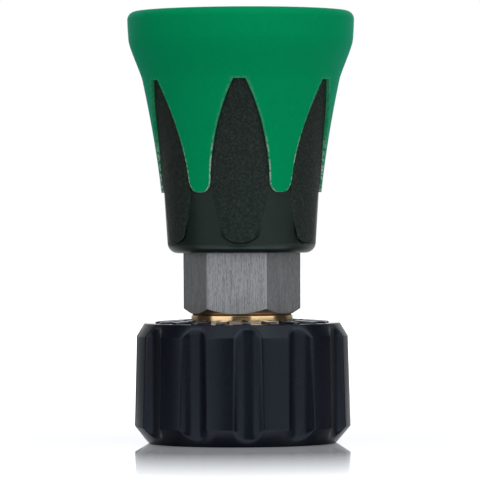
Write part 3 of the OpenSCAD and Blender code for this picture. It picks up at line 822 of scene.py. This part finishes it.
def nut_section():
    """The blank's outer line, cut fine where the flutes are, and its bore round the insert."""
    outer = []
    line = section([(FOOT_SPLIT, 0), (FOOT_R, 0, 0.3), (LOW_R, FOOT_BEVEL, 0.35),
                    (HIGH_R, NUT_H - TOP_BEVEL, 0.35), (TOP_R, NUT_H, 0.35),
                    (COLLAR_R + 1.2, NUT_H)], 5, is_open=True)
    for here, after in zip(line, line[1:]):
        pieces = 1
        if abs(here[1] - after[1]) > 10:
            pieces = SIDE_ROWS
        elif min(here[0], after[0]) > FINE_FROM:
            pieces = max(1, round((after - here).length / FINE_STEP))
        outer += [here + (after - here) * k / pieces for k in range(pieces)]
    around, seat = INSERT_R + PLAY, INSERT_TOP + PLAY
    inside = section([line[-1], (COLLAR_R + PLAY, NUT_H, 0.2), (COLLAR_R + PLAY, seat), (around, seat),
                      (around, MOUTH_LIP), (MOUTH_R, MOUTH_LIP, 0.15), (MOUTH_R, 0, 0.3), line[0]],
                     3, is_open=True)
    return outer + inside[:-1]


# %% Fluting the blank
NUT_IN, NUT_OUT = 9, 8
LEAST_EDGE, PLAIN_EDGE, BUNCHING, WEAR_AND_HIGHLIGHT_LOW = 2.0, 7.5, 1.5, 0.3


def nut_column_angle(column, reach):
    """Angle of a column; on both sides the columns gather at the flute's edge."""
    edge = max(LEAST_EDGE, flute_edge(reach)) if reach > FLUTED_FROM else PLAIN_EDGE
    if column <= NUT_IN:
        return edge * sin(column / NUT_IN * pi / 2)
    return edge + (PITCH / 2 - edge) * ((column - NUT_IN) / NUT_OUT) ** BUNCHING


def fluted_blank():
    bm = bmesh.new()
    rubbed_and_highlit = bm.verts.layers.float.new("wear")
    steps = NUT_IN + NUT_OUT
    sweep(bm, draw_section(bm, nut_section()), PITCH / 2, steps)
    for vert in bm.verts:
        reach = reach_of(vert)
        angle = nut_column_angle(round(angle_of(vert) / (PITCH / 2) * steps), reach)
        if reach > FLUTED_FROM:
            reach, near = fluted_r(reach, angle)
            # Pale edge mark: rubbed wear and painted edge highlights, stronger towards the top.
            vert[rubbed_and_highlit] = near * near * (WEAR_AND_HIGHLIGHT_LOW + (1 - WEAR_AND_HIGHLIGHT_LOW) * vert.co.z / NUT_H)
        put(vert, reach, angle)
    return full_ring(bm, FLUTES)


# %% [markdown]
# The top face carries a ring of plain raised bars. Each bar is a cube that is scaled, made lower
# at its outer end, bevelled and moved out, and set a little into the face so that it stands on it
# without a gap. The face itself and the bars are glossier than the rest of the nut.

# %% Raised bars and the finished nut
BARS, BAR_L, BAR_W, BAR_H, BAR_END_H, BAR_SUNK, BAR_SOFT = 20, 4.6, 1.5, 0.6, 0.3, 0.3, 0.18


def raised_bar():
    bm = bmesh.new()
    bmesh.ops.create_cube(bm, size=1)
    bmesh.ops.scale(bm, vec=(BAR_L, BAR_W, BAR_H + BAR_SUNK), verts=bm.verts[:])
    outer_end = [v for v in bm.verts if v.co.x > 0 and v.co.z > 0]
    bmesh.ops.translate(bm, vec=(0, 0, BAR_END_H - BAR_H), verts=outer_end)
    bevel(bm, [e for e in bm.edges if any(v.co.z > 0 for v in e.verts)], BAR_SOFT, 3)
    return bm


bm = fluted_blank()
middle = (COLLAR_R + TOP_R) / 2
for i in range(BARS):
    out = Matrix.Translation((middle, 0, NUT_H + (BAR_H - BAR_SUNK) / 2))
    add(bm, raised_bar(), rotated(i * 360 / BARS) @ out)
turn(bm, NUT_TURN - 90)
for face in bm.faces:
    centre = face.calc_center_median()
    is_top = centre.z > NUT_H - 0.01 and COLLAR_R + 0.1 < hypot(centre.x, centre.y) < TOP_R
    face.material_index = 1 if is_top else 0
finished(bm, "grip_nut", "hand_nut", [NUT_PLASTIC, NUT_GLOSSY], body="nut")

# %% [markdown]
# ## The brass insert
#
# The insert is turned from brass: a polished collar above the plastic, the lip that hangs on the
# nipple, a free bore and an M22 x 1.5 thread at the mouth. The bore is turned to the thread's
# root, and the thread itself is a ridge: a small trapezium swept along a helix, which spin does
# when it gets a step along the axis as well.

# %% Brass insert with its thread
collar_top = top("thread_insert")
MOUTH_Z, LIP_Z, LIP_BORE = 0.8, 19.6, 7.58
THREAD_Z, THREAD_END, CREST_R, ROOT_R, THREAD_PITCH = 1.6, 9.85, 10.19, 11.0, 1.5
NECK_TOP = NUT_H + 0.45
RIDGE_FOOT, RIDGE_CREST = 0.6, 0.19


def thread_ridge(steps_per_turn=64):
    """The ridge between two turns of the groove, a little longer than the thread."""
    bm = bmesh.new()
    corners = [(ROOT_R + 0.1, -RIDGE_FOOT), (CREST_R, -RIDGE_CREST), (CREST_R, RIDGE_CREST),
               (ROOT_R + 0.1, RIDGE_FOOT)]
    turns = (THREAD_END - THREAD_Z - 1.0) / THREAD_PITCH
    sweep(bm, plate(bm, [(r, z + THREAD_Z + 0.5) for r, z in corners]), 360 * turns,
          round(turns * steps_per_turn), dvec=(0, 0, THREAD_PITCH / steps_per_turn))
    return closed(bm)


bm = turned([
    (COLLAR_R - 0.04, NECK_TOP), (COLLAR_R, NECK_TOP + 0.04), (COLLAR_R, collar_top - 0.32, 0.06),
    (COLLAR_R - 0.28, collar_top, 0.05), (LIP_BORE, collar_top, 0.2), (LIP_BORE, LIP_Z, 0.2),
    (ROOT_R + 0.2, LIP_Z, 0.3), (ROOT_R + 0.2, THREAD_END + 0.4), (ROOT_R, THREAD_END),
    (ROOT_R, THREAD_Z + 0.1), (CREST_R + 0.8, MOUTH_Z), (INSERT_R, MOUTH_Z, 0.2),
    (INSERT_R, INSERT_TOP, 0.3), (COLLAR_R - 0.04, INSERT_TOP)], 128)
for face in bm.faces:
    centre = face.calc_center_median()
    is_neck = hypot(centre.x, centre.y) > COLLAR_R - 0.2 and centre.z < NECK_TOP
    face.material_index = 1 if is_neck and centre.z > 20 else 0
add(bm, thread_ridge())
finished(bm, "brass_insert", "thread_insert", [BRASS, BRASS_MATTE], body="nut")

# %% [markdown]
# ## The hexagon and the stem
#
# The holder's hexagon is bar stock whose corners were turned down and whose lower edge was
# bevelled by a cone. Where a flat cuts a cone the edge is an arc, and it is the arcs that make a
# turned hexagon look real. The grid is spun round and then moved: each column goes out to the
# flat's distance at its angle, and the row at the bevel goes up to where the cone meets the flat.

# %% Hexagon with arcs
HEX_FLAT, HEX_TURN, HEX_BEVEL, FACE_INSET = 9.5, -6.0, 33.0, 0.05
CORNER_R = 10.89


def hexagon(flat, low, high, bore, bevel_low=0.0, bevel_high=0.0, steps=6):
    """A bored hexagon with turned corners; the bevels are slopes in degrees, 0 for none."""
    land = degrees(acos(HEX_FLAT / CORNER_R))
    half = [land * i / steps for i in range(steps + 1)]
    across = half + [60 - a for a in reversed(half)]
    count = len(across)
    bm = bmesh.new()
    sweep(bm, draw_section(bm, [(bore, low), (flat - FACE_INSET, low), (flat, low), (flat, high),
                                (flat - FACE_INSET, high), (bore, high)]), 360, 6 * count, use_merge=True)
    for vert in bm.verts:
        reach = reach_of(vert)
        step = round(angle_of(vert) % 360 / 60 * count) % (6 * count)
        angle = across[step % count]
        if reach > flat - FACE_INSET / 2:
            reach = min(flat / cos(radians(min(angle, 60 - angle))), flat * CORNER_R / HEX_FLAT)
            slope = -bevel_high if vert.co.z > (low + high) / 2 else bevel_low
            vert.co.z += (reach - flat + FACE_INSET) * tan(radians(slope))
        put(vert, reach, 60 * (step // count) + angle)
    return closed(bm, 20 * TOUCHING)


# %% Holder
PIPE_R, PASSAGE_R, SOCKET_H, STUD_SOCKET_H = 6.15, 3.5, 11, 10.9
CLIP_UP, CLIP_GROOVE_H, CLIP_GROOVE_D = 0.85, 1.1, 0.5
clip_z = floor_z + CLIP_UP
bm = hexagon(HEX_FLAT, hex_z, seat_z, PIPE_R, bevel_low=HEX_BEVEL)
turn(bm, HEX_TURN - 90)
groove_r, groove_top = STEM_R - CLIP_GROOVE_D, clip_z + CLIP_GROOVE_H
socket_z, stud_z = stem_z - SOCKET_H, hex_z + STUD_SOCKET_H
stem = turned([
    (STEM_R, seat_z - 0.5), (STEM_R, clip_z, 0.05), (groove_r, clip_z), (groove_r, groove_top),
    (STEM_R, groove_top, 0.05), (STEM_R, stem_z, 0.5), (PIPE_R, stem_z, 0.3), (PIPE_R, socket_z),
    (PASSAGE_R, socket_z), (PASSAGE_R, stud_z), (PIPE_R + PLAY, stud_z), (PIPE_R + PLAY, seat_z - 0.5)])
bm.normal_update()
for face in bm.faces:
    facing = degrees(atan2(face.normal.y, face.normal.x)) - HEX_TURN + 90
    is_corner = abs(face.normal.z) < 0.3 and abs(facing % 60 - 30) < 10
    # Downward faces of the hexagon get the painted brass reflection.
    face.material_index = 3 if face.normal.z < -0.3 else 2 if is_corner else 0
for face in stem.faces:
    face.material_index = 1
add(bm, stem)
finished(bm, "holder", "nozzle_holder",
         [DRAWN_STEEL, TURNED_STEEL, CORNER_STEEL, BRASS_REFLECTION_STEEL], 20)

# %% [markdown]
# ## Nipple, washers and seals
#
# What is left of the joint shows from below, inside the nut, and from above, inside the bell.
# All of it is turned or is a plain ring, so each piece is one short section.

# %% Nipple
FLANGE_Z, FLANGE_R, FLANGE_H, SHANK_R = 15.7, 9.39, 2.0, 7.5
SPIGOT_R, GROOVE_Z, GROOVE_H, GROOVE_R, NIPPLE_BORE = 6.95, nipple_z + 0.9, 2.85, 5.19, 3.0
STUD_R = PIPE_R - 0.04
stud_top, groove_top, flange_top = top("swivel_nipple"), GROOVE_Z + GROOVE_H, FLANGE_Z + FLANGE_H
finished(turned([
    (NIPPLE_BORE, nipple_z + 1.5, 0.3), (NIPPLE_BORE + 1.5, nipple_z, 0.1),
    (SPIGOT_R - 0.5, nipple_z, 0.1), (SPIGOT_R, nipple_z + 0.5, 0.1), (SPIGOT_R, GROOVE_Z, 0.1),
    (GROOVE_R, GROOVE_Z, 0.15), (GROOVE_R, groove_top, 0.15), (SPIGOT_R, groove_top, 0.1),
    (SPIGOT_R, FLANGE_Z, 0.2), (FLANGE_R, FLANGE_Z, 0.25), (FLANGE_R, flange_top, 0.25),
    (SHANK_R, flange_top, 0.2), (SHANK_R, hex_z, 0.1), (STUD_R, hex_z), (STUD_R, stud_top, 0.3),
    (NIPPLE_BORE, stud_top, 0.2)]), "nipple", "swivel_nipple", [BRASS])

# %% Plain rings
WASHER_R, BACKUP_R, ON_STEM_R = SHANK_R + 0.08, 5.23, STEM_R + 0.04


def ring_corners(inner, outer, low, high, fillet):
    return [(inner, low, fillet), (outer, low, fillet), (outer, high, fillet), (inner, high, fillet)]


def flat_ring(name, solid, material, fillet, inner, body="nozzle_body"):
    """A ring between its solid's foot and top, rounded at the edges."""
    bm = turned(ring_corners(inner, radius(solid), foot(solid), top(solid), fillet))
    finished(bm, name, solid, [material], body=body)


flat_ring("slip_ring_washer", "slip_washer", WHITE_PLASTIC, 0.15, WASHER_R, "slip_ring")
flat_ring("spigot_backup", "spigot_backup_ring", WHITE_PLASTIC, 0.1, BACKUP_R)
flat_ring("stud_gasket", "nipple_gasket", COPPER, 0.2, PASSAGE_R)
flat_ring("floor_washer", "bell_washer", TURNED_STEEL, 0.15, ON_STEM_R)
flat_ring("head_seal", "tip_seal", COPPER, 0.25, PIPE_R)

# %% [markdown]
# The O-ring is a round cord bent into a ring: a circle spun about the axis.

# %% O-ring
CORD_R = 0.95
bm = bmesh.new()
circle = bmesh.ops.create_circle(bm, radius=CORD_R, segments=20)["verts"]
centre = Vector((radius("spigot_o_ring") - CORD_R, 0, foot("spigot_o_ring") + CORD_R))
upright = Matrix.Translation(centre) @ Matrix.Rotation(pi / 2, 4, "X")
bmesh.ops.transform(bm, matrix=upright, verts=circle)
sweep(bm, everything(bm), 360, 96, use_merge=True)
finished(closed(bm), "spigot_seal", "spigot_o_ring", [RUBBER])

# %% [markdown]
# The snap ring is stamped from spring steel: a band that is open at the back, with an eye at
# each end for the pliers. The band is a section swept over part of a turn, with its ends closed.

# %% Snap ring
CLIP_BORE, CLIP_W, CLIP_GAP, EYE_R = 8.14, 2.1, 40.0, 1.5
low, high = foot("bell_snap_ring"), top("bell_snap_ring")
bm = bmesh.new()
band = section(ring_corners(CLIP_BORE, CLIP_BORE + CLIP_W, low, high, 0.1), 2)
sweep(bm, plate(bm, band), 360 - CLIP_GAP, 80)
turn(bm, 90 + CLIP_GAP / 2)
closed(bm)
eye_reach = CLIP_BORE + CLIP_W - EYE_R / 2
eye_turn = CLIP_GAP / 2 + degrees(asin(EYE_R / (CLIP_BORE + CLIP_W)))
for side in (-1, 1):
    eye = turned(ring_corners(EYE_R / 2, EYE_R, low, high, 0.1), 32)
    add(bm, eye, rotated(90 + side * eye_turn) @ Matrix.Translation((eye_reach, 0, 0)))
finished(bm, "snap_ring", "bell_snap_ring", [SPRING_STEEL])

# %% [markdown]
# ## The spray tip
#
# The tip is a small stainless body with a hexagon, a round nose and a slot across the nose, out
# of which the water leaves as a fan. The slot cuts the nose in two halves. Each is a turned nose
# cut by a plane, and the holes that the plane leaves are filled again.

# %% Spray tip
TIP_FLAT, NOSE_R, NOSE_H, SLOT_W, SLOT_H, TIP_HEAD_H = 7.0, 5.2, 5.4, 2.0, 2.2, 6.4
TIP_BORE, ORIFICE_BODY_R = 2.5, 2.1
tip_top = top("spray_tip")
nose_z = tip_top - NOSE_H
slot_z = tip_top - SLOT_H
head_z = nose_z - TIP_HEAD_H


def half_nose(side):
    """The nose on one side of the slot."""
    bm = turned([(ORIFICE_BODY_R, slot_z - 0.02), (NOSE_R, slot_z - 0.02), (NOSE_R, tip_top, 1.0),
                 (ORIFICE_BODY_R, tip_top, 0.2)], 64)
    cut = bmesh.ops.bisect_plane(bm, geom=everything(bm), plane_co=(side * SLOT_W / 2, 0, 0),
                                 plane_no=(-side, 0, 0), clear_outer=True)["geom_cut"]
    bmesh.ops.holes_fill(bm, edges=[g for g in cut if isinstance(g, bmesh.types.BMEdge)], sides=0)
    return closed(bm)


bm = hexagon(TIP_FLAT, head_z, nose_z, TIP_BORE, bevel_high=HEX_BEVEL)
turn(bm, -90)
add(bm, turned([(TIP_BORE, foot("spray_tip"), 0.2), (STUD_R, foot("spray_tip"), 0.4),
                (STUD_R, head_z + 0.1), (TIP_BORE, head_z + 0.1)], 64))
add(bm, turned(ring_corners(ORIFICE_BODY_R, NOSE_R, nose_z - 0.1, slot_z, 0), 64))
for side in (-1, 1):
    add(bm, half_nose(side))
finished(bm, "fan_tip", "spray_tip", [TURNED_STEEL], 20)

# %% Orifice insert
INLET_R, OUTLET_R, THROAT_R, OUTLET_H, INLET_H = 1.8, 1.3, 0.6, 0.5, 1.6
low, high, outer = foot("orifice_insert"), top("orifice_insert"), radius("orifice_insert")
finished(turned([(INLET_R, low), (outer, low, 0.1), (outer, high, 0.15), (OUTLET_R, high, 0.1),
                 (THROAT_R, high - OUTLET_H, 0.1), (THROAT_R, low + INLET_H, 0.1)], 48),
         "orifice", "orifice_insert", [CERAMIC])

# %% [markdown]
# ## Studio
#
# The nozzle stands on a strip of glossy white sheet that lies across a darker desk. To the camera
# the desk is white as well, so that only the light that it throws back is dark. The sheet is a
# little bluish and mirrors the nut. The mirror leans by a hair, as paper never lies quite flat, and
# its image fades with distance. Two large soft lights stand left and right in front, and show as
# two bright bands in the polished collar, with the dark room between them. A weaker one hangs
# above. The room is white to the camera. In reflections it is bright straight behind the nozzle,
# grey further to the sides and dark in front.

# %% Table
SHEET_LEFT, SHEET_RIGHT = (-0.15, -0.07), (0.2, 0.28)
SHEET_LEAN, MIRROR, MIRROR_FADE = 1.4, 0.845, (0.038, 0.133)
DESK, SHEET = (0.14, 0.14, 0.14), (0.77, 0.785, 0.8)
TABLE, shader = new_material(
    "white_table", Roughness=0.5, Specular_IOR_Level=0.2, Emission_Color=(0.94, 0.962, 1, 1))
seen = node(shader, "ShaderNodeLightPath").outputs["Is Camera Ray"]
mirror = node(shader, "ShaderNodeBsdfGlossy", Color=(0.945, 0.965, 1, 1), Roughness=0.03)
lean = radians(SHEET_LEAN)
tilt = node(shader, "ShaderNodeCombineXYZ", X=0.0, Y=-sin(lean), Z=cos(lean))
feed(mirror, Normal=tilt.outputs["Vector"])
where = node(shader, "ShaderNodeTexCoord").outputs["Object"]
out = node(shader, "ShaderNodeVectorMath", [(where, 0)], operation="LENGTH").outputs["Value"]
across = node(shader, "ShaderNodeSeparateXYZ", [(where, "Vector")]).outputs["X"]
white = maths("MULTIPLY", span(across, 0.0, 1.0, *SHEET_LEFT), span(across, 1.0, 0.0, *SHEET_RIGHT))
bright = maths("MAXIMUM", span(out, 0.6, 1.0, 0.1, 0.5), span(white, 1.0, 0.6))
feed(shader, Base_Color=blend(white, DESK, SHEET), Emission_Strength=maths("MULTIPLY", bright, seen))
fade = span(out, MIRROR, 0.0, *MIRROR_FADE)
mix = node(shader, "ShaderNodeMixShader", [(fade, "Fac"), (shader.outputs[0], 1), (mirror.outputs[0], 2)])
feed(TABLE.node_tree.nodes["Material Output"], Surface=mix.outputs[0])
table = bmesh.new()
bmesh.ops.create_grid(table, x_segments=1, y_segments=1, size=3.0)
mesh_object("table", table, [TABLE])
print("made:", TABLE.name)

# %% Room
ROOM_DARK, ROOM_GREY = 0.05, 0.45
world = bpy.data.worlds.new("room")
world.use_nodes = True
bpy.context.scene.world = world
background = world.node_tree.nodes["Background"]
direction = node(background, "ShaderNodeTexCoord").outputs["Generated"]
back = node(background, "ShaderNodeSeparateXYZ", [(direction, "Vector")]).outputs["Y"]
room = maths("MAXIMUM", span(back, ROOM_DARK, 1.0, 0.74, 0.97), span(back, ROOM_DARK, ROOM_GREY, 0.45, 0.7))
seen = node(background, "ShaderNodeLightPath").outputs["Is Camera Ray"]
feed(background, Strength=maths("MAXIMUM", room, seen))
background.inputs["Color"].default_value = (1, 1, 1, 1)
print("made:", world.name)


# %% Lights
def soft_light(name, azimuth, elevation, width, height, power):
    """A rectangular light one metre from the nozzle and aimed at it; azimuth 0 is in front."""
    aim = Vector((0, 0, 0.04))
    side, rise = radians(azimuth), radians(elevation)
    away = Vector((sin(side) * cos(rise), -cos(side) * cos(rise), sin(rise)))
    data = bpy.data.lights.new(name, "AREA")
    data.shape = "RECTANGLE"
    data.size, data.size_y, data.energy = width, height, power
    light = linked(name, data)
    light.location = aim + away
    light.rotation_euler = away.to_track_quat("Z", "Y").to_euler()


soft_light("light_left", -48.5, 25, 1.0, 1.2, 6.8)
soft_light("light_right", 49, 31, 1.25, 1.2, 9.3)
soft_light("light_top", 0, 75, 0.9, 0.9, 4.4)
print("lights:", len(bpy.data.lights))

# %% [markdown]
# The camera has a long lens. It is level with the middle of the nozzle and turned by a hair.

# %% Camera
camera = linked("camera", bpy.data.cameras.new("camera"))
camera.data.sensor_width, camera.data.lens = 36.0, 324.0
camera.location = (0, -0.8018, 0.0410)
camera.rotation_euler = (radians(90 - 0.24), radians(0.27), radians(0.021))
bpy.context.scene.camera = camera
bpy.context.scene.view_settings.view_transform = "Standard"
